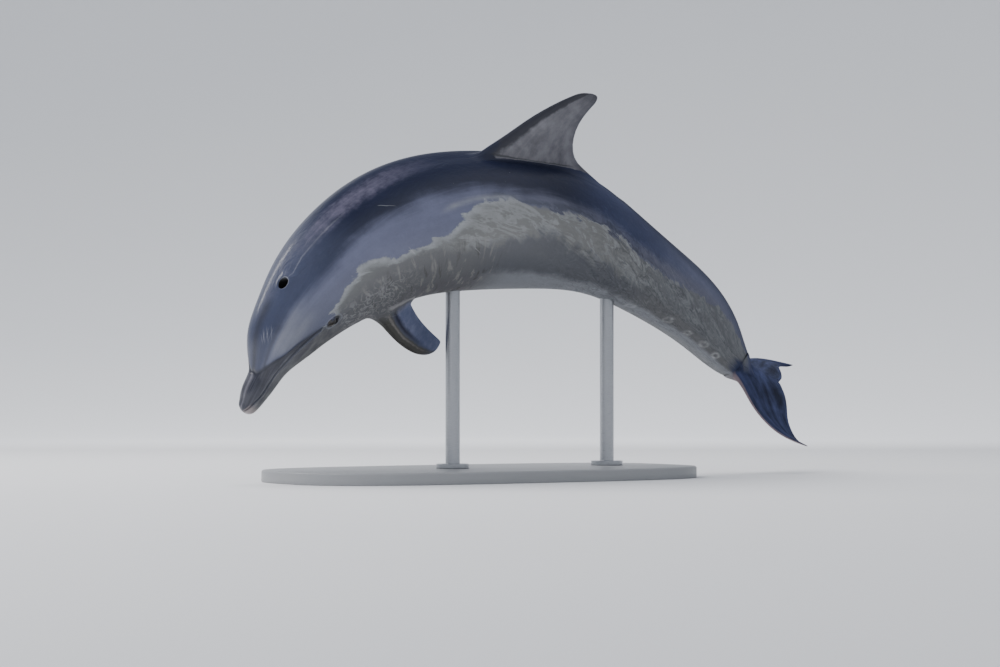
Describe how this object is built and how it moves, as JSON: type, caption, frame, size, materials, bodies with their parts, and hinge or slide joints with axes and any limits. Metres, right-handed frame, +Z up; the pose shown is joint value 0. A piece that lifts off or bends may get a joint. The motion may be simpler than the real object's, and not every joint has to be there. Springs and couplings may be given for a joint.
{
  "type": "bottlenose dolphin display model",
  "caption": "Life-size still model of a leaping bottlenose dolphin, back arched and head down, held above a plain flat base by two upright rods.",
  "frame": {"origin": "middle of the flat underside of the stand's base, which rests on the floor", "axes": "+X towards the dolphin's tail, along the base's long side; +Y towards the dolphin's right side; +Z up"},
  "size_m": [2.197, 0.6826, 1.1805],
  "materials": {
    "skin": "wet, glossy",
    "eye": "polished",
    "stand_plate": "satin",
    "stand_rods": "brushed"
  },
  "bodies": {
    "root": {"head": "skin", "lower_jaw": "skin", "thorax": "skin", "trunk": "skin", "abdomen": "skin", "tail_stock": "skin", "fluke_left": "skin", "fluke_right": "skin", "dorsal_fin": "skin", "flipper_left": "skin", "flipper_right": "skin", "eye_left": "eye", "eye_right": "eye", "stand_base": "stand_plate", "stand_rod_front": "stand_rods", "stand_rod_rear": "stand_rods"}
  },
  "joints": []
}
